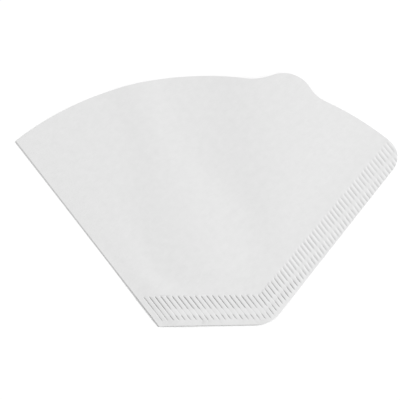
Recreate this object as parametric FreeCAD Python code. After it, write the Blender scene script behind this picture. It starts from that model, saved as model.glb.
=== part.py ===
import FreeCAD, Part
import math
import os

# A paper coffee filter, folded flat. One sheet is folded along its left side and crimped to itself along
# the bottom and the right side. The arched rim is open, so the two plies hold a flat pocket between them.
# The lower ply lies on the plane z = 0. X runs along the bottom edge, Y runs up the paper to the rim.
# All lengths are in millimetres and all angles in degrees.

Vector = FreeCAD.Vector

# Paper
paper_thickness = 0.2

# Outline of the folded sheet
bottom_width = 47.2
side_angle = 37.8
bottom_skew = 1.3
rim_height = 111.4
rim_radius = 125.3
rim_shift = -4.4
fold_corner_radius = 2.2
seam_corner_radius = 13.0
rim_corner_radius = 9.5

# Finger tab on the rim
tab_angle = 17.2
tab_rise = 6.35
tab_radius = 13.3
tab_fold_side_run_in = 23.4
tab_seam_side_run_in = 14.6

# Crimped bands: a plain margin at the edge, a short outer row, a plain gap and a long inner row
bottom_margin = 2.4
bottom_outer_row = 2.3
bottom_gap = 2.3
bottom_inner_row = 5.7
side_margin = 1.5
side_outer_row = 2.4
side_gap = 1.8
side_inner_row = 5.0

# Crimp ridges, all parallel to the fold
ridge_pitch = 1.95
first_ridge = 0.5
ridge_height = 0.5
ridge_end_run = 0.45
valley_lift = 0.06
foot_width = 0.5
hollow_wall = 0.4
ridge_flats = 5
hollow_flats = 3

# Pocket between the plies
crimp_to_pocket = 0.9
parting_gap = 0.1
fold_gap = 0.3
bend_over_round = 1.03
mouth_gap = 1.6
sag_depth = 0.3
sag_half_width = 12.0
sag_foot = (34.0, 34.0)
sag_head = (-14.0, 88.0)

# Sizes that follow from the ones above
seam_thickness = 2 * paper_thickness
lean = math.radians(side_angle)
skew = math.radians(bottom_skew)
fold_radius = paper_thickness + (parting_gap + fold_gap) / 2
rim_centre = Vector(rim_shift, rim_height - rim_radius, 0)
bottom_band = bottom_margin + bottom_outer_row + bottom_gap + bottom_inner_row
side_band = side_margin + side_outer_row + side_gap + side_inner_row

# Directions in the plane of the paper, and how far the working blocks reach past the sheet
along_fold = Vector(-math.sin(lean), math.cos(lean), 0)
along_seam = Vector(math.sin(lean), math.cos(lean), 0)
along_bottom = Vector(math.cos(skew), math.sin(skew), 0)
into_from_fold = Vector(math.cos(lean), math.sin(lean), 0)
into_from_seam = Vector(-math.cos(lean), math.sin(lean), 0)
into_from_bottom = Vector(-math.sin(skew), math.cos(skew), 0)
up = Vector(0, 0, 1)
reach = rim_height
full_reach = 4 * reach
headroom = reach / 10 + mouth_gap + seam_thickness + ridge_height

# Points that the three straight sides of the sheet run through
bottom_middle = Vector(0, 0, 0)
fold_start = Vector(-bottom_width / 2, 0, 0)
seam_start = Vector(bottom_width / 2, 0, 0)


def crossing(point_a, direction_a, point_b, direction_b):
    """The point where two lines in the plane of the paper meet."""
    across = direction_a.cross(direction_b).z
    step = (point_b - point_a).cross(direction_b).z / across
    return point_a + direction_a * step


def rim_crossing(point, direction, radius):
    """The point where a line leaves a circle about the rim's centre."""
    from_centre = point - rim_centre
    along = from_centre.dot(direction)
    past = from_centre.dot(from_centre) - radius ** 2
    return point + direction * (math.sqrt(along ** 2 - past) - along)


# Where the seam edge runs into the rim, and how many ridges fit between there and the fold
rim_corner = rim_crossing(seam_start, along_seam, rim_radius)
ridge_count = math.ceil((rim_corner - fold_start).dot(into_from_fold) / ridge_pitch)


def inner_corners(from_fold, from_bottom, from_seam):
    """The corners of the sheet with its sides moved in, and its fold and seam run on past the rim."""
    fold_point = fold_start + into_from_fold * from_fold
    seam_point = seam_start + into_from_seam * from_seam
    bottom_point = bottom_middle + into_from_bottom * from_bottom
    left = crossing(fold_point, along_fold, bottom_point, along_bottom)
    right = crossing(seam_point, along_seam, bottom_point, along_bottom)
    right_far = seam_point + along_seam * 2 * reach
    left_far = fold_point + along_fold * 2 * reach
    return [left, right, right_far, left_far]


def prism(points, low, high):
    """An upright block over a polygon in the plane of the paper."""
    corners = [Vector(point.x, point.y, low) for point in points]
    wire = Part.makePolygon(corners + corners[:1])
    return Part.Face(wire).extrude(up * (high - low))


def round_upright_edge(shape, place, radius):
    """Rounds the upright edge of a block that stands nearest to a place in the plane of the paper."""
    uprights = []
    for edge in shape.Edges:
        ends = [vertex.Point for vertex in edge.Vertexes]
        if len(ends) == 2 and (ends[1] - ends[0]).cross(up).Length < 0.001:
            uprights.append(edge)

    def distance(edge):
        foot = edge.Vertexes[0].Point
        return math.hypot(foot.x - place.x, foot.y - place.y)

    return shape.makeFillet(radius, [min(uprights, key=distance)])


def outline_block():
    """An upright block with the outline of the folded sheet, finger tab included."""
    tall = 2 * headroom
    foot = Vector(0, 0, -headroom)
    angle = math.radians(tab_angle)
    toward_tab = Vector(math.sin(angle), math.cos(angle), 0)
    beside_tab = Vector(math.cos(angle), -math.sin(angle), 0)
    tab_distance = rim_radius + tab_rise - tab_radius
    rim = Part.makeCylinder(rim_radius, tall, rim_centre + foot)
    tab = Part.makeCylinder(tab_radius, tall, rim_centre + toward_tab * tab_distance + foot)
    arch = rim.fuse(tab)

    # The tab's circle meets the rim's circle at two places, one on each side of the line between centres
    depth = (rim_radius ** 2 - tab_radius ** 2 + tab_distance ** 2) / (2 * tab_distance)
    half_width = math.sqrt(rim_radius ** 2 - depth ** 2)
    root = rim_centre + toward_tab * depth
    arch = round_upright_edge(arch, root - beside_tab * half_width, tab_fold_side_run_in)
    arch = round_upright_edge(arch, root + beside_tab * half_width, tab_seam_side_run_in)

    corners = inner_corners(0, 0, 0)
    sheet = arch.common(prism(corners, -headroom, headroom))
    sheet = round_upright_edge(sheet, corners[0], fold_corner_radius)
    sheet = round_upright_edge(sheet, corners[1], seam_corner_radius)
    return round_upright_edge(sheet, rim_corner, rim_corner_radius)


def ply_height(across, upward, place):
    """Height of the upper ply's top: across runs from fold to seam, upward from crimp to rim."""
    # A cubic that leaves the fold at a slant, crests a third of the way over and lands flat at the seam
    bulge = 27 / 4 * across * (1 - across) ** 2
    gap = parting_gap + upward * (fold_gap * (1 - across) + mouth_gap * bulge)
    foot = Vector(sag_foot[0], sag_foot[1], 0)
    run = Vector(sag_head[0], sag_head[1], 0) - foot
    run.normalize()
    beside = (place - foot).cross(run).z / sag_half_width
    fade = upward * 4 * across * (1 - across)
    return seam_thickness + gap - sag_depth * fade * math.exp(-beside ** 2)


def ply_face():
    """The upper ply's top face, one smooth surface that runs a little past the pocket all round."""
    columns = 17
    rows = 11
    overlap = 0.06
    corners = inner_corners(0, bottom_band + crimp_to_pocket, side_band + crimp_to_pocket)
    source = crossing(corners[0], along_fold, corners[1], along_seam)
    grid = []
    for column in range(columns):
        across = -overlap + (1 + 2 * overlap) * column / (columns - 1)
        angle = lean * (2 * across - 1)
        ray = Vector(math.sin(angle), math.cos(angle), 0)
        low_end = crossing(source, ray, corners[0], along_bottom)
        high_end = rim_crossing(source, ray, rim_radius + tab_rise)
        ruling = []
        for row in range(rows):
            upward = -overlap + (1 + 2 * overlap) * row / (rows - 1)
            place = low_end + (high_end - low_end) * upward
            ruling.append(place + up * ply_height(across, upward, place))
        grid.append(ruling)
    surface = Part.BSplineSurface()
    surface.interpolate(grid)
    return surface.toShape()


def bend_block(inset, radius):
    """All that lies on the pocket's side of the bend: a block whose left side is a half-round."""
    # A touch over round, so that it meets the flat lower ply at a clean edge
    over_round = bend_over_round * radius
    middle = fold_radius

    def corner(distance, height):
        return fold_start - along_fold * reach + into_from_fold * distance + up * height

    low = corner(inset + over_round, middle - over_round)
    tip = corner(inset, middle)
    high = corner(inset + over_round, middle + over_round)
    far_high = corner(full_reach, headroom)
    far_low = corner(full_reach, -headroom)
    round_side = Part.Arc(low, tip, high).toShape()
    straight_sides = Part.makePolygon([
        high, corner(inset + over_round, headroom), far_high,
        far_low, corner(inset + over_round, -headroom), low,
    ])
    wire = Part.Wire([round_side] + straight_sides.Edges)
    return Part.Face(wire).extrude(along_fold * full_reach)


def row_block(bottom_start, bottom_row, side_start, side_row, low, high):
    """One crimped row, a strip that turns from the bottom into the seam, with sloping flanks."""

    def strip(height, inset):
        outer = inner_corners(-reach, bottom_start + inset, side_start + inset)
        inner = inner_corners(
            -reach, bottom_start + bottom_row - inset, side_start + side_row - inset
        )
        points = [outer[0], outer[1], outer[2], inner[2], inner[1], inner[0]]
        return [Vector(point.x, point.y, height) for point in points]

    below = strip(low, 0)
    above = strip(high, ridge_end_run)
    loops = [below, above]
    for index in range(len(below)):
        following = (index + 1) % len(below)
        loops.append([below[index], below[following], above[following], above[index]])
    faces = [Part.Face(Part.makePolygon(loop + loop[:1])) for loop in loops]
    return Part.Solid(Part.Shell(faces))


def ridge_back(number, chord, foot_height, crest_height, flats):
    """The rounded back of one ridge in section, as a few flats on an arc."""
    start = fold_start - along_fold * reach + into_from_fold * (first_ridge + (number + 0.5) * ridge_pitch)
    rise = crest_height - foot_height
    radius = (chord ** 2 / 4 + rise ** 2) / (2 * rise)
    half_turn = math.asin(min(1, chord / 2 / radius))
    points = []
    for step in range(flats + 1):
        turn = half_turn * (2 * step / flats - 1)
        sideways = radius * math.sin(turn)
        height = crest_height - radius * (1 - math.cos(turn))
        points.append(start + into_from_fold * sideways + up * height)
    return points


def bar(points):
    """A bar parallel to the fold, from its section."""
    wire = Part.makePolygon(points + points[:1])
    return Part.Face(wire).extrude(along_fold * full_reach)


def ridged_block():
    """Ridges side by side over the whole sheet, parallel to the fold, with sharp valleys between."""
    points = []
    for number in range(ridge_count):
        back = ridge_back(
            number, ridge_pitch, seam_thickness + valley_lift, seam_thickness + ridge_height, ridge_flats
        )
        points.extend(back[:-1])
    points.append(back[-1])
    drop = up * headroom
    return bar(points + [points[-1] - drop, points[0] - drop])


def hollow_bars():
    """The hollows that the same ridges leave in the underside of the sheet."""
    bars = []
    for number in range(ridge_count):
        back = ridge_back(number, ridge_pitch - foot_width, 0, ridge_height, hollow_flats)
        bars.append(bar(back + [back[-1] - up, back[0] - up]))
    return Part.makeCompound(bars)


def filter_paper():
    """The whole folded and crimped sheet."""
    outline = outline_block().common(bend_block(0, fold_radius))
    ply = ply_face()
    slab = prism(inner_corners(-reach, -reach, -reach), 0, seam_thickness)

    # The upper ply over the pocket, still solid below
    pocket_sides = inner_corners(-reach, bottom_band + crimp_to_pocket, side_band + crimp_to_pocket)
    under_ply = ply.extrude(up * -headroom)
    raised_ply = under_ply.common(prism(pocket_sides, paper_thickness / 2, headroom))

    # The crimp ridges: two rows that follow the bottom edge and the seam edge
    rows = [
        (bottom_margin, bottom_outer_row, side_margin, side_outer_row),
        (
            bottom_margin + bottom_outer_row + bottom_gap, bottom_inner_row,
            side_margin + side_outer_row + side_gap, side_inner_row,
        ),
    ]
    ridges = ridged_block()
    hollows = hollow_bars()
    spare = paper_thickness
    raised = [raised_ply]
    sunk = []
    for bottom_start, bottom_row, side_start, side_row in rows:
        block = row_block(
            bottom_start, bottom_row, side_start, side_row,
            seam_thickness - spare, seam_thickness + ridge_height + spare,
        )
        raised.append(ridges.common(block))
        block = row_block(
            bottom_start + hollow_wall, bottom_row - 2 * hollow_wall,
            side_start + hollow_wall, side_row - 2 * hollow_wall,
            -spare, ridge_height + spare,
        )
        sunk.append(hollows.common(block))

    # The pocket itself, open at the rim
    pocket_floor = inner_corners(
        -reach, bottom_band + crimp_to_pocket + hollow_wall, side_band + crimp_to_pocket + hollow_wall
    )
    under_ply.translate(up * -paper_thickness)
    pocket = under_ply.common(prism(pocket_floor, paper_thickness, headroom))
    pocket = pocket.common(bend_block(paper_thickness, fold_radius - paper_thickness))

    sheet = slab.fuse(raised)
    sheet = sheet.cut([pocket] + sunk)
    return sheet.common(outline)


def centred(sheet):
    """The sheet moved so that the middle of its outline stands over the origin."""
    points = sheet.tessellate(0.01)[0]
    middle_x = (min(point.x for point in points) + max(point.x for point in points)) / 2
    middle_y = (min(point.y for point in points) + max(point.y for point in points)) / 2
    moved = sheet.copy()
    moved.translate(Vector(-middle_x, -middle_y, 0))
    print("moved by", round(-middle_x, 3), round(-middle_y, 3))
    return moved


solid = centred(filter_paper()).Solids[0]
points = solid.tessellate(0.01)[0]
lows = [min(point[axis] for point in points) for axis in range(3)]
highs = [max(point[axis] for point in points) for axis in range(3)]
print("valid", solid.isValid(), "faces", len(solid.Faces), "volume %.0f mm3" % solid.Volume)
print("lowest corner", [round(value, 2) for value in lows])
print("highest corner", [round(value, 2) for value in highs])
os.makedirs("parts", exist_ok=True)
solid.exportStep("parts/filter_paper.step")
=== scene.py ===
# %% [markdown]
# # A paper coffee filter, folded flat
# The real thing is one die-cut sheet of filter paper. It is folded once and crimped to itself along two
# sides, and the arched rim stays open. This lesson loads the part's solids as a fixed frame, sets up the
# camera and a plain studio, and then models the sheet as a paper maker would make it.

# %% Load the frame
import math
import random

import bpy
import bmesh
from mathutils import Matrix, Vector


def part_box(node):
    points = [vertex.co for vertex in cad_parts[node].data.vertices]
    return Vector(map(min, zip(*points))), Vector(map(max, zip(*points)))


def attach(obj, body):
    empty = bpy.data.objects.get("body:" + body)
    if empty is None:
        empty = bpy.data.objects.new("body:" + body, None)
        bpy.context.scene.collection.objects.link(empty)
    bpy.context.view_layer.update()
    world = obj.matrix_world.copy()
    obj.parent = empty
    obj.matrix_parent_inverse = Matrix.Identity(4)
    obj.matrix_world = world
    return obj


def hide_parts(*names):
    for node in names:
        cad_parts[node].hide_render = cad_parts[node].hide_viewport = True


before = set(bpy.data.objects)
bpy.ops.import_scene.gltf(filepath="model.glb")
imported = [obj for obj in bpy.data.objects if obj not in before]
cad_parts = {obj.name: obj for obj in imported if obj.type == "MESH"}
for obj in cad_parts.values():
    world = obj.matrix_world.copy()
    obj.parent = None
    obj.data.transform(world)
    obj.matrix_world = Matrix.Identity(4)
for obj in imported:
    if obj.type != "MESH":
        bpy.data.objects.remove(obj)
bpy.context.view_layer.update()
mm = 0.001
sheet_low, sheet_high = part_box("filter_paper")
print("the folded sheet measures", [round((b - a) / mm, 1) for a, b in zip(sheet_low, sheet_high)], "mm")

# %% [markdown]
# ## Camera
# The filter fills the frame from side to side, seen almost square on. A long lens keeps its sides as
# straight as they are on the real sheet. The camera aims at a point near the middle of the sheet, and is
# turned a third of a degree, because the sheet was not laid down quite straight.

# %% Camera
scene = bpy.context.scene
camera_elevation = math.radians(74.2)
camera_turn = math.radians(0.3)
camera_distance = 750 * mm
framed_width = 172.2 * mm
aim = Vector((-2.66 * mm, -0.87 * mm, 0))

camera_data = bpy.data.cameras.new("camera")
camera_data.lens = camera_data.sensor_width * camera_distance / framed_width
camera = bpy.data.objects.new("camera", camera_data)
scene.collection.objects.link(camera)
camera.location = aim + camera_distance * Vector((
    math.cos(camera_elevation) * math.sin(camera_turn),
    -math.cos(camera_elevation) * math.cos(camera_turn),
    math.sin(camera_elevation),
))
camera.rotation_euler = (math.pi / 2 - camera_elevation, 0, camera_turn)
scene.camera = camera
print("lens", round(camera_data.lens, 1), "mm")


# %% [markdown]
# ## Colours and nodes
# Colours are written as the hex values that a screen shows, and one function turns them to the linear
# values that the shader works in. One more function adds a node, sets it and links it.

# %% Helpers for colours and nodes
def colour(hex_code):
    """An sRGB hex colour as a linear one, with alpha."""
    channels = [int(hex_code[start:start + 2], 16) / 255 for start in (0, 2, 4)]
    linear = [c / 12.92 if c <= 0.04045 else ((c + 0.055) / 1.055) ** 2.4 for c in channels]
    return (*linear, 1)


def add_node(tree, kind, settings=None, inputs=None, links=None):
    """Adds a node, sets its properties and its sockets, and links other nodes' outputs to it."""
    node = tree.nodes.new(kind)
    for name, value in (settings or {}).items():
        setattr(node, name, value)
    for name, value in (inputs or {}).items():
        node.inputs[name].default_value = value
    for name, output in (links or {}).items():
        tree.links.new(output, node.inputs[name])
    return node


def new_material(name):
    """An empty node material, its node tree and its output node."""
    material = bpy.data.materials.new(name)
    material.use_nodes = True
    tree = material.node_tree
    tree.nodes.clear()
    return material, tree, tree.nodes.new("ShaderNodeOutputMaterial")


# %% [markdown]
# ## Studio
# White paper on a white table is lit by a bright overcast room, plus one softbox on the right that gives
# the folds and the crimp their shading. Each has a share of the light that a white floor needs to come
# out white, and the two shares add up to a little more than one.

# %% Floor
floor_size = 6.0
floor_bm = bmesh.new()
bmesh.ops.create_grid(floor_bm, x_segments=1, y_segments=1, size=floor_size / 2)
floor_mesh = bpy.data.meshes.new("floor")
floor_bm.to_mesh(floor_mesh)
floor_bm.free()
floor = bpy.data.objects.new("floor", floor_mesh)
scene.collection.objects.link(floor)

floor_material, tree, output = new_material("matt_white_table")
shader = add_node(
    tree, "ShaderNodeBsdfPrincipled",
    inputs={"Base Color": colour("ffffff"), "Roughness": 1.0, "Specular IOR Level": 0.0},
)
tree.links.new(shader.outputs["BSDF"], output.inputs["Surface"])
floor_mesh.materials.append(floor_material)

# %% Softbox and room
room_share = 0.603
lamp_share = 0.47
lamp_distance = 5.0
lamp_width = 2.0
lamp_elevation = math.radians(48)
lamp_turn = math.radians(8)
toward_lamp = Vector((
    math.cos(lamp_elevation) * math.cos(lamp_turn),
    math.cos(lamp_elevation) * math.sin(lamp_turn),
    math.sin(lamp_elevation),
))
lamp_data = bpy.data.lights.new("softbox", "AREA")
lamp_data.shape = "DISK"
lamp_data.size = lamp_width
# The power at which the softbox alone lights a white floor to its share of full white
lamp_data.energy = math.pi ** 2 * lamp_distance ** 2 * lamp_share / math.sin(lamp_elevation)
lamp = bpy.data.objects.new("softbox", lamp_data)
lamp.location = toward_lamp * lamp_distance
lamp.rotation_euler = toward_lamp.to_track_quat("Z", "Y").to_euler()
scene.collection.objects.link(lamp)

world = bpy.data.worlds.new("bright_room")
world.use_nodes = True
tree = world.node_tree
tree.nodes.clear()
path = add_node(tree, "ShaderNodeLightPath")
seen = add_node(
    tree, "ShaderNodeMath", {"operation": "ADD"},
    links={0: path.outputs["Is Camera Ray"], 1: path.outputs["Is Transmission Ray"]},
)
seen = add_node(
    tree, "ShaderNodeMath", {"operation": "ADD", "use_clamp": True},
    links={0: seen.outputs[0], 1: path.outputs["Is Glossy Ray"]},
)
level = add_node(
    tree, "ShaderNodeMapRange", inputs={"To Min": room_share, "To Max": 1.0},
    links={"Value": seen.outputs[0]},
)
background = add_node(
    tree, "ShaderNodeBackground", inputs={"Color": (1, 1, 1, 1)},
    links={"Strength": level.outputs["Result"]},
)
output = add_node(tree, "ShaderNodeOutputWorld", links={"Surface": background.outputs["Background"]})
scene.world = world
scene.view_settings.view_transform = "Standard"

# %% [markdown]
# ## The outline of the folded sheet
# The die cuts an arched rim with a small round finger tab, and three straight sides: the fold, the bottom
# and the seam. The sizes below are typical of a filter for two to four cups. Places are worked out with
# the middle of the bottom edge as the origin, X along the bottom and Y up the paper, and the sheet is
# moved into the frame at the end.

# %% Sizes of the folded sheet
paper_thickness = 0.2 * mm
bottom_width = 47.2 * mm
side_lean = math.radians(37.8)
bottom_skew = math.radians(1.3)
rim_height = 111.4 * mm
rim_radius = 125.3 * mm
rim_shift = -4.4 * mm
fold_corner_radius = 2.2 * mm
seam_corner_radius = 13.0 * mm
rim_corner_radius = 9.5 * mm

tab_turn = math.radians(17.0)
tab_rise = 6.35 * mm
tab_radius = 13.3 * mm
tab_fold_side_run_in = 23.4 * mm
tab_seam_side_run_in = 14.6 * mm

along_fold = Vector((-math.sin(side_lean), math.cos(side_lean), 0))
along_seam = Vector((math.sin(side_lean), math.cos(side_lean), 0))
along_bottom = Vector((math.cos(bottom_skew), math.sin(bottom_skew), 0))
from_fold = Vector((math.cos(side_lean), math.sin(side_lean), 0))
from_seam = Vector((-math.cos(side_lean), math.sin(side_lean), 0))
from_bottom = Vector((-math.sin(bottom_skew), math.cos(bottom_skew), 0))
fold_start = Vector((-bottom_width / 2, 0, 0))
seam_start = Vector((bottom_width / 2, 0, 0))
bottom_middle = Vector((0, 0, 0))
rim_centre = Vector((rim_shift, rim_height - rim_radius, 0))


def fold_depth(place):
    """How far a place on the folded sheet lies in from the fold."""
    return (place - fold_start).dot(from_fold)


def seam_depth(place):
    """How far it lies in from the seam edge."""
    return (place - seam_start).dot(from_seam)


def bottom_depth(place):
    """How far it lies in from the bottom edge."""
    return (place - bottom_middle).dot(from_bottom)


def crossing(point_a, direction_a, point_b, direction_b):
    """The point where two lines on the paper meet."""
    across = direction_a.cross(direction_b).z
    return point_a + direction_a * ((point_b - point_a).cross(direction_b).z / across)


def rim_crossing(point, direction, radius):
    """The point where a line leaves a circle about the rim's centre."""
    from_centre = point - rim_centre
    along = from_centre.dot(direction)
    past = from_centre.length_squared - radius ** 2
    return point + direction * (math.sqrt(along ** 2 - past) - along)


print("rim radius", round(rim_radius / mm, 1), "mm, tab", round(tab_rise / mm, 2), "mm high")

# %% [markdown]
# ## Rim and finger tab
# A disc gives the arched rim. It could be drawn point by point, but `create_circle` already spaces them
# evenly, and an inset gives the rim a neat strip of quads. The tab is a circle that stands a little out of
# the rim and runs into it through a hollow curve on each side, so each point of the rim near it only has
# to move outward, to a distance that plain geometry gives.

# %% Rim with its tab
rim_points = 720
rim_strip = 2.5 * mm


def rim_distance(angle):
    """Distance from the rim's centre to the cut edge, at an angle from the middle of the tab."""
    tab_distance = rim_radius + tab_rise - tab_radius
    run_in = tab_fold_side_run_in if angle < 0 else tab_seam_side_run_in
    turn = abs(angle)
    hollow_distance = rim_radius + run_in
    touching = tab_radius + run_in
    hollow_turn = math.acos(
        (tab_distance ** 2 + hollow_distance ** 2 - touching ** 2) / (2 * tab_distance * hollow_distance)
    )
    # The tab's circle passes to the hollow curve on the line between their centres
    share = tab_radius / touching
    meet_x = share * hollow_distance * math.sin(hollow_turn)
    meet_y = tab_distance + share * (hollow_distance * math.cos(hollow_turn) - tab_distance)
    if turn >= hollow_turn:
        return rim_radius
    if turn >= math.atan2(meet_x, meet_y):
        side = hollow_distance * math.sin(hollow_turn - turn)
        return hollow_distance * math.cos(hollow_turn - turn) - math.sqrt(run_in ** 2 - side ** 2)
    side = tab_distance * math.sin(turn)
    return tab_distance * math.cos(turn) + math.sqrt(tab_radius ** 2 - side ** 2)


ply = bmesh.new()
bmesh.ops.create_circle(ply, cap_ends=True, segments=rim_points, radius=rim_radius)
bmesh.ops.translate(ply, verts=ply.verts, vec=rim_centre)
bmesh.ops.inset_region(ply, faces=ply.faces[:], thickness=rim_strip, use_boundary=True)
for vert in ply.verts:
    ray = vert.co - rim_centre
    if ray.length > rim_radius - rim_strip / 2:
        angle = math.atan2(ray.x, ray.y) - tab_turn
        vert.co = rim_centre + ray.normalized() * rim_distance(angle)
print("disc:", len(ply.verts), "points")

# %% [markdown]
# ## Straight sides and rounded corners
# The disc is cut down to the fan by planes. A rounded corner is only more of the same: a run of cuts
# that all touch one circle.

# %% Cut the fan out of the disc
cut_tolerance = 1e-7   # a point this near to a cut, in metres, counts as lying on it
corner_cuts = 10


def trim(place, outward):
    """Cuts away all that lies beyond a line on the paper."""
    geometry = ply.verts[:] + ply.edges[:] + ply.faces[:]
    bmesh.ops.bisect_plane(
        ply, geom=geometry, dist=cut_tolerance, plane_co=place, plane_no=outward, clear_outer=True
    )


def round_corner(centre, radius, first_outward, last_outward):
    """Cuts a corner round, with a run of cuts that touch a circle."""
    whole_turn = first_outward.angle(last_outward)
    for step in range(1, corner_cuts):
        share = step / corner_cuts
        outward = first_outward * math.sin((1 - share) * whole_turn)
        outward = (outward + last_outward * math.sin(share * whole_turn)).normalized()
        trim(centre + outward * radius, outward)


trim(fold_start, -from_fold)
trim(seam_start, -from_seam)
trim(bottom_middle, -from_bottom)

fold_corner_centre = crossing(
    fold_start + from_fold * fold_corner_radius, along_fold,
    bottom_middle + from_bottom * fold_corner_radius, along_bottom,
)
seam_corner_centre = crossing(
    seam_start + from_seam * seam_corner_radius, along_seam,
    bottom_middle + from_bottom * seam_corner_radius, along_bottom,
)
rim_corner_centre = rim_crossing(
    seam_start + from_seam * rim_corner_radius, along_seam, rim_radius - rim_corner_radius
)
round_corner(fold_corner_centre, fold_corner_radius, -from_fold, -from_bottom)
round_corner(seam_corner_centre, seam_corner_radius, -from_bottom, -from_seam)
round_corner(
    rim_corner_centre, rim_corner_radius, -from_seam, (rim_corner_centre - rim_centre).normalized()
)
print("fan:", len(ply.verts), "points,", len(ply.faces), "faces")

# %% [markdown]
# ## Lines for the crimp
# A crimping roll presses two rows of short ridges into the bottom and the seam, all parallel to the fold.
# The mesh needs its own lines where the paper will bend: along each ridge, across the ends of the rows
# and at the fold. Only the faces in the crimp get the fine lines, so the rest of the sheet stays light.

# %% Sizes of the crimp
ridge_pitch = 1.95 * mm
first_ridge = 0.5 * mm
bottom_rows = [(2.05 * mm, 4.6 * mm), (6.8 * mm, 12.85 * mm)]
seam_rows = [(1.4 * mm, 5.3 * mm), (6.3 * mm, 12.15 * mm)]
bottom_fade = 0.7 * mm
seam_fade = 1.0 * mm
row_drift = 3.4 * mm
crimp_to_pocket = 0.4 * mm
bend_width = 0.6 * mm
bend_share = 0.75
bend_lines = (0.15, 0.3, 0.45, 0.6, bend_share, 1.0)
fold_band = 2 * ridge_pitch
ridge_lines = (0.05, 0.1, 0.16, 0.25, 0.38, 0.5, 0.62, 0.75, 0.84, 0.9, 0.95)
pocket_line_gap = 4.0 * mm
bottom_band = bottom_rows[1][1]
seam_band = seam_rows[1][1]
# Going up the seam, its rows come nearer to the edge
across_rows = from_seam + Vector((0, row_drift / rim_height, 0))
ridge_count = math.ceil(
    fold_depth(rim_crossing(seam_start, along_seam, rim_radius)) / ridge_pitch
)


def row_depth(place):
    """How far a place lies in from the seam edge, as the seam's slanting rows count it."""
    return (place - seam_start).dot(across_rows)


# %% Cut the lines
def faces_where(test):
    """The ply's faces whose middles pass a test."""
    return [face for face in ply.faces if test(face.calc_center_median())]


def cut_line(faces, place, sideways):
    """Cuts a line across some of the faces, and returns them with the new ones."""
    verts = list({vert for face in faces for vert in face.verts})
    edges = list({edge for face in faces for edge in face.edges})
    result = bmesh.ops.bisect_plane(
        ply, geom=verts + edges + faces, dist=cut_tolerance, plane_co=place, plane_no=sideways
    )
    return [part for part in result["geom"] if isinstance(part, bmesh.types.BMFace)]


for number in range(ridge_count + 1):
    cut_line(ply.faces[:], fold_start + from_fold * (first_ridge + number * ridge_pitch), from_fold)
for share in bend_lines:
    near = faces_where(lambda place: fold_depth(place) < fold_band)
    cut_line(near, fold_start + from_fold * share * bend_width, from_fold)


def row_lines(rows, fade):
    """Distances from the edge at which the rows start, reach full height, fade, end and are past."""
    lines = []
    for start, end in rows:
        lines.extend([start, start + fade / 2, start + fade])
        lines.extend([end - fade, end - fade / 2, end, end + fade / 2])
    return sorted(lines)


pocket_low = bottom_band + crimp_to_pocket
pocket_side = seam_band + crimp_to_pocket
cut_line(ply.faces[:], bottom_middle + from_bottom * pocket_low, from_bottom)
cut_line(ply.faces[:], seam_start + from_seam * pocket_side, from_seam)

# The rows turn from the bottom into the seam, and their lines run on a little way past the corner
near_corner = 1.5 * mm
band_shape = pocket_side / pocket_low
for depth in row_lines(bottom_rows, bottom_fade):
    near = faces_where(
        lambda place: bottom_depth(place) < pocket_low
        and seam_depth(place) > bottom_depth(place) * band_shape - near_corner
    )
    cut_line(near, bottom_middle + from_bottom * depth, from_bottom)
for depth in row_lines(seam_rows, seam_fade):
    near = faces_where(
        lambda place: seam_depth(place) < pocket_side
        and seam_depth(place) < bottom_depth(place) * band_shape + near_corner
    )
    cut_line(near, seam_start + across_rows * (depth / across_rows.length_squared), across_rows)


def in_crimp(place):
    """Whether a place lies between the plain margin and the pocket."""
    in_bottom = bottom_depth(place) < bottom_band
    in_seam = row_depth(place) < seam_band
    past_margin = bottom_depth(place) > bottom_rows[0][0] and row_depth(place) > seam_rows[0][0]
    return (in_bottom or in_seam) and past_margin


strips = {}
for face in faces_where(in_crimp):
    number = math.floor((fold_depth(face.calc_center_median()) - first_ridge) / ridge_pitch)
    strips.setdefault(number, []).append(face)
for number, faces in strips.items():
    for share in ridge_lines:
        distance = first_ridge + (number + share) * ridge_pitch
        if distance > 0:
            faces = cut_line(faces, fold_start + from_fold * distance, from_fold)

for number in range(1, math.ceil((rim_height + tab_rise) / pocket_line_gap)):
    near = faces_where(
        lambda place: bottom_depth(place) > pocket_low and seam_depth(place) > pocket_side
    )
    cut_line(near, bottom_middle + from_bottom * (pocket_low + number * pocket_line_gap), from_bottom)
print("ply with its lines:", len(ply.verts), "points,", len(ply.faces), "faces")

# %% [markdown]
# ## The flat blank
# The real blank is symmetrical about the fold, because the folded plies match. So the ply is turned until
# its fold runs up the Y axis, and a mirror makes the other half. What prints here is the size of the flat
# sheet that a die would cut.

# %% Mirror the ply into the blank
mirror_tolerance = 1e-6
merge_distance = 0.01 * mm

bmesh.ops.translate(ply, verts=ply.verts, vec=-fold_start)
bmesh.ops.rotate(
    ply, verts=ply.verts, cent=(0, 0, 0), matrix=Matrix.Rotation(-side_lean, 3, "Z")
)
geometry = ply.verts[:] + ply.edges[:] + ply.faces[:]
bmesh.ops.mirror(ply, geom=geometry, axis="X", merge_dist=mirror_tolerance)
bmesh.ops.remove_doubles(ply, verts=ply.verts, dist=merge_distance)
bmesh.ops.recalc_face_normals(ply, faces=ply.faces)
flat_width = max(vert.co.x for vert in ply.verts) * 2
flat_height = max(vert.co.y for vert in ply.verts) - min(vert.co.y for vert in ply.verts)
flat_area = sum(face.calc_area() for face in ply.faces)
print("flat blank", round(flat_width / mm, 1), "x", round(flat_height / mm, 1), "mm,",
      round(flat_area * 1e4, 1), "cm2")

# %% [markdown]
# ## Thickness
# A Solidify modifier would push the two faces of the paper apart along its normals, and they would cross
# each other in the sharp valleys of the crimp. So the blank gets its thickness while it is still flat, by
# an extrusion, and is folded afterwards as a thin slab, as real paper is. Its flat places are kept as a
# UV map, so that the paper's own pattern goes round the fold and through the crimp with it.

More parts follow.
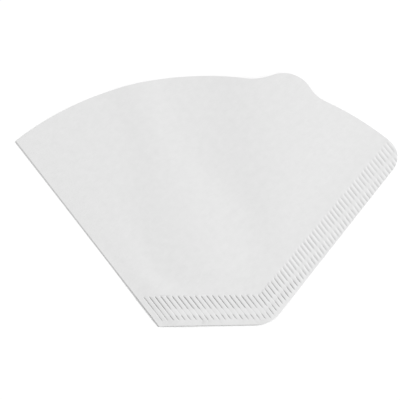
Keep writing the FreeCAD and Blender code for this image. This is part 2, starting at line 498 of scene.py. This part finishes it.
# %% Give the flat blank its thickness and remember its flat places
raised = bmesh.ops.extrude_face_region(ply, geom=ply.faces[:], use_keep_orig=True)
raised_verts = [part for part in raised["geom"] if isinstance(part, bmesh.types.BMVert)]
bmesh.ops.translate(ply, verts=raised_verts, vec=(0, 0, paper_thickness))
bmesh.ops.translate(ply, verts=ply.verts, vec=(0, 0, -paper_thickness / 2))
bmesh.ops.recalc_face_normals(ply, faces=ply.faces)
flat_map = ply.loops.layers.uv.new("flat_sheet")
for face in ply.faces:
    for loop in face.loops:
        loop[flat_map].uv = (loop.vert.co.x / flat_width + 0.5, loop.vert.co.y / flat_width + 0.5)
print("slab:", len(ply.verts), "points,", len(ply.faces), "faces")

# %% [markdown]
# ## Fold, crimp and swell
# Folding is a move of every point. A point on the left half goes under, one on the right half stays on
# top, and the few next to the fold turn round a small radius. The crimp lifts both plies in the same
# ridges, and past the crimp the upper ply bows away from the lower one, because the folded paper wants to
# open at its rim.

# %% Shape of the crimp and of the upper ply
ridge_height = 0.12 * mm
valley_depth = 0.42 * mm
bottom_press = 2.15
corner_press = 1.55
seam_press = 1.15
rim_press = 0.46
fold_ease = 0.6
fold_run_in = 8.0 * mm
edge_press = 0.66
bottom_flatness = 7.0
seam_flatness = 2.1
count_tolerance = 1e-6   # a point on the line where a ridge starts belongs to that ridge
gap_strength = 0.15
joined_ridges = 4
joined_strength = 0.6
lift_share = 1.1
lift_end = 0.3 * mm
edge_droop = 0.3
ply_clearance = 0.02 * mm
fold_gap = 0.35 * mm
mouth_gap = 0.8 * mm
bulge_power = 4
swell_rise = 0.04
swell_run_in = 10 * mm
narrowest_swell = 12 * mm
widest_swell = 24 * mm
# For each swell: how far its crest lies from the fold and how far it reaches, both at the bottom edge and
# with their change up the sheet, and how many times further it reaches on the side away from the fold
swells = (
    (21.6 * mm, 0.325, 44 * mm, -0.4, 1),
    (46.6 * mm, 0.5, -12 * mm, 0.5, 1.5),
)

# No two ridges are pressed quite alike, or start quite level
strength_range = (0.8, 1.1)
slip_range = (-0.35, 0)
random.seed(11)
ridge_strength = [random.uniform(*strength_range) for number in range(-1, ridge_count + 2)]
ridge_slip = [random.uniform(*slip_range) * mm for number in range(-1, ridge_count + 2)]


def smooth_step(value):
    """0 below 0, 1 above 1, and a smooth rise between them."""
    value = min(1, max(0, value))
    return value * value * (3 - 2 * value)


def seam_share(place):
    """0 in the bottom's crimp and 1 in the seam's, with a short passage at the corner."""
    return smooth_step((place.y - bottom_band) / bottom_band)


def press(place):
    """How hard the rolls pressed: most along the bottom, less beside the fold and up the seam."""
    across = min(1, max(0, place.x / bottom_width + 0.5))
    along_the_bottom = bottom_press + (corner_press - bottom_press) * across
    along_the_seam = seam_press + (rim_press - seam_press) * place.y / rim_height
    hardness = along_the_bottom + (along_the_seam - along_the_bottom) * seam_share(place)
    return hardness * (1 - fold_ease * (1 - smooth_step(fold_depth(place) / fold_run_in)))


def row_strength(place, slip, between):
    """How strongly the crimp marks a place: 1 in the rows, less between them, 0 in the margin."""
    from_edge = bottom_depth(place) + slip
    from_side = row_depth(place) + slip
    fade = bottom_fade + (seam_fade - bottom_fade) * seam_share(place)

    def within(low, high, side_low, side_high):
        entered = min(from_edge - low, from_side - side_low)
        left_to_go = max(high - from_edge, side_high - from_side)
        return smooth_step(entered / fade) * smooth_step(left_to_go / fade)

    strength = between * within(
        bottom_rows[0][0], bottom_rows[1][1], seam_rows[0][0], seam_rows[1][1]
    )
    for bottom_row, seam_row in zip(bottom_rows, seam_rows):
        strength = max(strength, within(*bottom_row, *seam_row))
    from_pocket = 1 - min(1, from_edge / bottom_band)
    return strength * (1 + (edge_press - 1) * from_pocket * (1 - seam_share(place)))


def crimp_height(place):
    """Height of the crimp's ridges over the plain seam."""
    count = (fold_depth(place) - first_ridge) / ridge_pitch
    number = math.floor(count + count_tolerance)
    number = min(max(number, -1), ridge_count)
    # Beside the fold there is room for half a ridge, which has no valley on the fold's side
    across = abs(2 * (count - number) - 1) if count > 0.5 else 0
    flatness = bottom_flatness + (seam_flatness - bottom_flatness) * seam_share(place)
    ridge = 1 - across ** flatness
    # The first ridges beside the fold run on between the rows
    between = joined_strength if number < joined_ridges else gap_strength
    strength = ridge_strength[number + 1] * row_strength(place, ridge_slip[number + 1], between)
    return strength * press(place) * (ridge * (ridge_height + valley_depth) - valley_depth)


pocket_corner = crossing(
    fold_start, along_fold, bottom_middle + from_bottom * pocket_low, along_bottom
)
pocket_source = crossing(fold_start, along_fold, seam_start + from_seam * pocket_side, along_seam)


def swell(place):
    """Two soft swells that run up the pocket's upper ply, one narrowing and one widening."""
    depth = fold_depth(place)
    height = 0
    for crest, crest_change, reach, reach_change, far_side in swells:
        crest = crest + crest_change * place.y
        reach = min(widest_swell, max(narrowest_swell, reach + reach_change * place.y))
        away = (depth - crest) / reach
        away = min(1, -away if away < 0 else away / far_side)
        height += swell_rise * reach * (1 + math.cos(math.pi * away)) / 2
    inward = min(bottom_depth(place) - pocket_low, seam_depth(place) - pocket_side, depth)
    return height * smooth_step(inward / swell_run_in)


def pocket_gap(place):
    """How far the upper ply stands off the lower one."""
    ray = (place - pocket_source).normalized()
    across = (math.atan2(ray.x, ray.y) / side_lean + 1) / 2
    foot = crossing(pocket_source, ray, pocket_corner, along_bottom)
    head = rim_crossing(pocket_source, ray, rim_radius)
    upward = (place - foot).dot(ray) / (head - foot).length
    if upward < 0 or across > 1:
        return 0
    across = max(across, 0)
    # 1 at its highest, which is four fifths of the way from the fold to the seam
    bulge = across ** bulge_power * (1 - across)
    bulge = bulge * (bulge_power + 1) ** (bulge_power + 1) / bulge_power ** bulge_power
    return upward * (fold_gap * (1 - across) + mouth_gap * bulge) + swell(place)


# %% Fold the blank
def folded(flat):
    """Where a point of the flat slab ends up."""
    distance = abs(flat.x)
    side = math.copysign(1, flat.x)
    place = fold_start + from_fold * distance + along_fold * flat.y
    gap = pocket_gap(place)
    # The crimp is lifted by as much as its deepest valley goes down, so that it stays above the table
    lifted = lift_share * valley_depth * press(place) * (1 - smooth_step(gap / lift_end))
    edge = min(bottom_depth(place) / bottom_rows[0][0], row_depth(place) / seam_rows[0][0])
    lifted *= 1 - edge_droop * (1 - smooth_step(edge))
    low = paper_thickness / 2 + lifted + crimp_height(place)
    high = low + paper_thickness + ply_clearance + gap
    height = high if flat.x > 0 else low
    outward = Vector((0, 0, side))
    if distance < bend_width:
        # A half-round nose, and then a short straight run up to where the ply lies undisturbed
        share = distance / bend_width / bend_share
        turn = min(1, share) * math.pi / 2
        middle, half = (low + high) / 2, (high - low) / 2
        height = middle + side * half * math.sin(turn)
        outward = Vector((0, 0, side * math.sin(turn))) - from_fold * math.cos(turn)
        distance = paper_thickness / 2 + half * (1 - math.cos(turn))
        if share > 1:
            distance += (bend_width - distance) * (share - 1) / (1 / bend_share - 1)
        place = fold_start + from_fold * distance + along_fold * flat.y
    return Vector((place.x, place.y, height)) + outward * flat.z


for vert in ply.verts:
    vert.co = folded(vert.co)
for face in ply.faces:
    face.smooth = True

# %% Place the sheet in the frame
crease_angle = math.radians(60)
low_x, high_x = min(v.co.x for v in ply.verts), max(v.co.x for v in ply.verts)
low_y, high_y = min(v.co.y for v in ply.verts), max(v.co.y for v in ply.verts)
frame_middle = (sheet_low + sheet_high) / 2
shift = Vector((frame_middle.x - (low_x + high_x) / 2, frame_middle.y - (low_y + high_y) / 2, 0))
bmesh.ops.translate(ply, verts=ply.verts, vec=shift)
print("moved by", [round(value / mm, 3) for value in shift])

sheet_mesh = bpy.data.meshes.new("folded_sheet")
ply.to_mesh(sheet_mesh)
ply.free()
sheet_mesh.set_sharp_from_angle(angle=crease_angle)
sheet = bpy.data.objects.new("folded_sheet", sheet_mesh)
scene.collection.objects.link(sheet)
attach(sheet, "root")
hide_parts("filter_paper")
print("sheet:", len(sheet_mesh.polygons), "faces")

# %% [markdown]
# ## Filter paper
# Bleached filter paper is made of long softwood fibres, laid wet on a wire and dried with little pressing,
# so it stays matt, a little cloudy and faintly creped. Three patterns build it up, with sizes in
# millimetres on the flat sheet: clouds where the fibres lie thicker, the fibres themselves, and the crepe.
# A picture of real paper could be mapped on instead, but patterns keep their detail from any distance.

# %% Filter paper
cloud_size = 3.0
fibre_length = 2.4
fibre_width = 0.09   # about three times a real softwood fibre, so that it still shows
fibre_turns = (-65, -10, 40, 85)
fibre_bend = 3.0
fibre_edge = (0.5, 0.75)
fibre_share = 0.35
crepe_pitch = 0.7
wave_pitch = 0.314   # what the wave texture's own bands are apart, at a scale of 1
fibre_relief = 0.012 * mm
crepe_relief = 0.006 * mm

paper_material, tree, output = new_material("bleached_filter_paper")
flat_places = add_node(tree, "ShaderNodeUVMap", {"uv_map": "flat_sheet"})
in_millimetres = add_node(
    tree, "ShaderNodeVectorMath", {"operation": "SCALE"}, {"Scale": flat_width / mm},
    {0: flat_places.outputs["UV"]},
)
place = in_millimetres.outputs["Vector"]
clouds = add_node(
    tree, "ShaderNodeTexNoise",
    inputs={"Scale": 1 / cloud_size, "Detail": 4.0, "Roughness": 0.6}, links={"Vector": place},
)
# Fibres lie in every direction and none is straight: a gentle noise bends the places they are drawn on
bend = add_node(
    tree, "ShaderNodeTexNoise", inputs={"Scale": 0.5 / fibre_length, "Detail": 1.0},
    links={"Vector": place},
)
bent_place = add_node(
    tree, "ShaderNodeVectorMath", {"operation": "MULTIPLY_ADD"}, {1: (fibre_bend, fibre_bend, 0)},
    {0: bend.outputs["Color"], 2: place},
).outputs["Vector"]
# Each direction looks at another part of the pattern, and where two fibres cross, the higher one shows
fibres = None
for turn in fibre_turns:
    stretched = add_node(
        tree, "ShaderNodeMapping", inputs={
            "Location": (7 * turn, 3 * turn, 0),
            "Rotation": (0, 0, math.radians(turn)),
            "Scale": (1 / fibre_length, 1 / fibre_width, 1),
        }, links={"Vector": bent_place},
    )
    strands = add_node(
        tree, "ShaderNodeTexNoise", {"noise_dimensions": "2D"}, {"Scale": 0.5, "Detail": 1.0},
        {"Vector": stretched.outputs["Vector"]},
    )
    if fibres is None:
        fibres = strands.outputs["Fac"]
    else:
        fibres = add_node(
            tree, "ShaderNodeMath", {"operation": "MAXIMUM"},
            links={0: fibres, 1: strands.outputs["Fac"]},
        ).outputs[0]
fibre_height = add_node(
    tree, "ShaderNodeMapRange", inputs={"From Min": fibre_edge[0], "From Max": fibre_edge[1]},
    links={"Value": fibres},
).outputs["Result"]
crepe = add_node(
    tree, "ShaderNodeTexWave", {"bands_direction": "Y"},
    {"Scale": wave_pitch / crepe_pitch, "Distortion": 6.0, "Detail": 2.0, "Detail Scale": 0.6},
    {"Vector": place},
)

thin_and_thick = add_node(
    tree, "ShaderNodeMix", {"data_type": "RGBA"},
    {"A": colour("dadada"), "B": colour("e5e5e5")}, {"Factor": clouds.outputs["Fac"]},
)
fibre_light = add_node(
    tree, "ShaderNodeMath", {"operation": "MULTIPLY"}, {1: fibre_share}, {0: fibre_height}
)
paper_colour = add_node(
    tree, "ShaderNodeMix", {"data_type": "RGBA"}, {"B": colour("e6e6e6")},
    {"A": thin_and_thick.outputs["Result"], "Factor": fibre_light.outputs[0]},
)
crepe_bump = add_node(
    tree, "ShaderNodeBump", inputs={"Strength": 1.0, "Distance": crepe_relief},
    links={"Height": crepe.outputs["Fac"]},
)
fibre_bump = add_node(
    tree, "ShaderNodeBump", inputs={"Strength": 1.0, "Distance": fibre_relief},
    links={"Height": fibre_height, "Normal": crepe_bump.outputs["Normal"]},
)
shader = add_node(
    tree, "ShaderNodeBsdfPrincipled", inputs={"Roughness": 0.95, "Specular IOR Level": 0.1},
    links={"Base Color": paper_colour.outputs["Result"], "Normal": fibre_bump.outputs["Normal"]},
)
tree.links.new(shader.outputs["BSDF"], output.inputs["Surface"])
sheet_mesh.materials.clear()
sheet_mesh.materials.append(paper_material)
print("paper material:", len(tree.nodes), "nodes")

# %% The end
bpy.context.view_layer.update()
